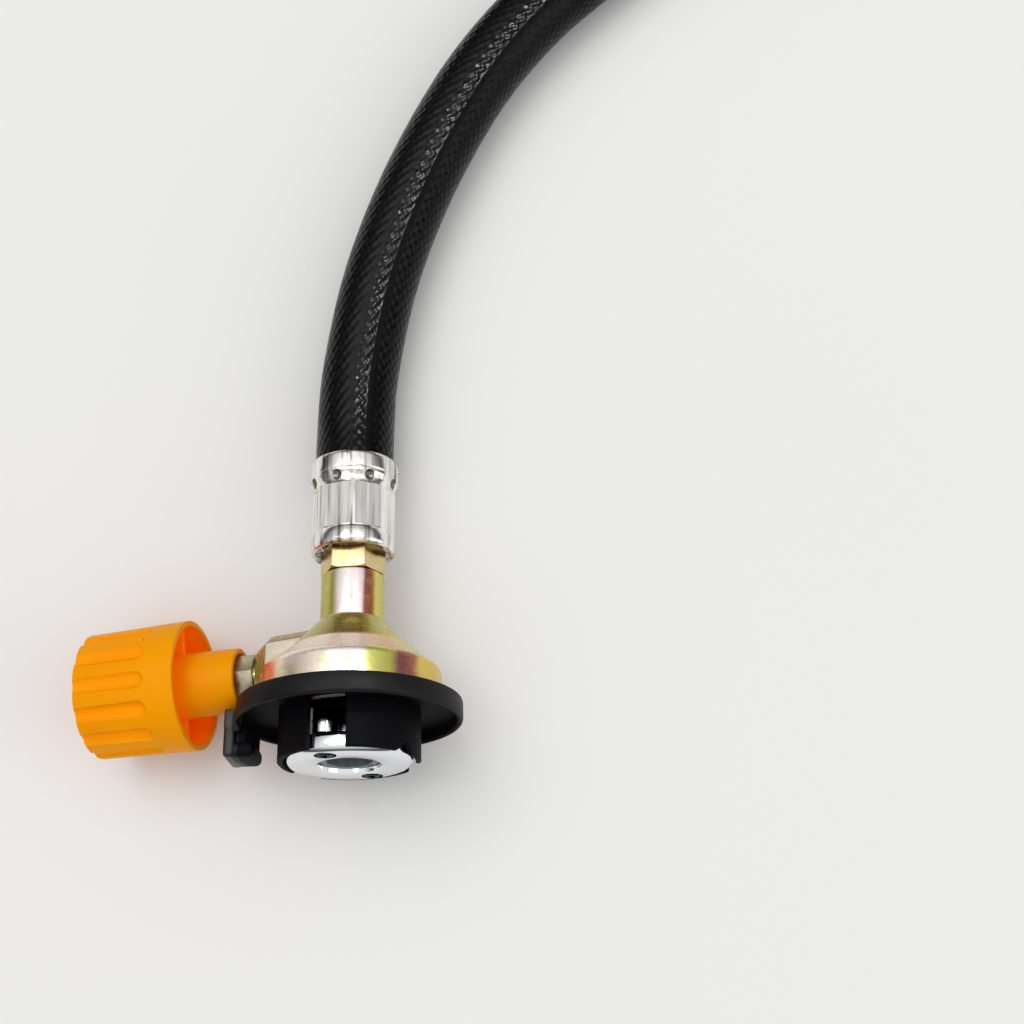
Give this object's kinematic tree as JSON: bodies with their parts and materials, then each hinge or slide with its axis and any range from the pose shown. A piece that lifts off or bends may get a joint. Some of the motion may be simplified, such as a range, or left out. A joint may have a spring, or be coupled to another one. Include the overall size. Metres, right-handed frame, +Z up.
{
  "type": "gas regulator hose",
  "caption": "Gas regulator with a bayonet lock ring and a fluted control knob, on a coiled black hose that ends in a swivel nut.",
  "frame": {"origin": "on the table, below the middle of the regulator's box with its knob and hose fitting (the hose is left out)", "axes": "+Z up from the table; the hose leaves the regulator towards +Y; the knob points towards -X"},
  "size_m": [0.1946, 0.3831, 0.0402],
  "materials": {
    "chromate": "zinc casting with a yellow chromate film",
    "nickel": "bright plated",
    "tin": "bright plated steel",
    "brass": "turned",
    "steel": "plain",
    "black_plastic": "satin",
    "orange_plastic": "satin to gloss",
    "rubber": "matt",
    "hose_rubber": "fine cloth texture"
  },
  "bodies": {
    "regulator": {"body_housing": "chromate", "nozzle_plate": "nickel", "nozzle_gasket": "rubber", "plate_screw_1": "nickel", "plate_screw_2": "nickel", "front_flange": "steel", "chamber_cover": "chromate", "inlet_seat": "brass", "stem_o_ring": "rubber", "spring_seat": "steel", "pressure_spring": "steel", "diaphragm": "rubber", "gland_nut": "nickel", "spindle_o_ring": "rubber", "hose_stem": "brass", "ferrule_inlet": "tin", "hose_run": "hose_rubber", "hose_coil": "hose_rubber", "ferrule_outlet": "tin", "outlet_stem": "brass"},
    "needle": {"valve_needle": "brass"},
    "knob": {"knob": "orange_plastic", "spindle": "brass"},
    "lock_ring": {"lock_ring": "black_plastic"},
    "flow_stem": {"flow_stem": "brass", "seat_pad": "rubber", "diaphragm_plate": "steel", "stem_nut": "brass"},
    "swivel_nut": {"swivel_nut": "brass"}
  },
  "joints": [
    {"name": "needle_travel", "type": "slide", "parent": "regulator", "child": "needle", "axis": [-0.9844, -0.1024, -0.143], "range_m": [0, 0.0012]},
    {"name": "knob_turn", "type": "hinge", "parent": "needle", "child": "knob", "pos_m": [0.01443, -0.0104, 0.01828], "axis": [-0.9844, -0.1024, -0.143], "range_deg": [0, 540]},
    {"name": "lock_ring_turn", "type": "hinge", "parent": "regulator", "child": "lock_ring", "pos_m": [0.01477, -0.02082, 0.02054], "axis": [-0.0319, 0.9769, -0.2113], "range_deg": [0, 20]},
    {"name": "stem_travel", "type": "slide", "parent": "regulator", "child": "flow_stem", "axis": [0.0319, -0.9769, 0.2113], "range_m": [0, 0.00045], "stiffness_N_per_m": 2000, "deforming": ["pressure_spring", "diaphragm"]},
    {"name": "nut_spin", "type": "hinge", "parent": "regulator", "child": "swivel_nut", "pos_m": [-0.03435, 0.23756, 0.02671], "axis": [0.0993, 0.9951, 0], "continuous": true}
  ],
  "couplings": [
    {"joint": "knob_turn", "follows": "needle_travel", "rad_per_m": 7854}
  ]
}
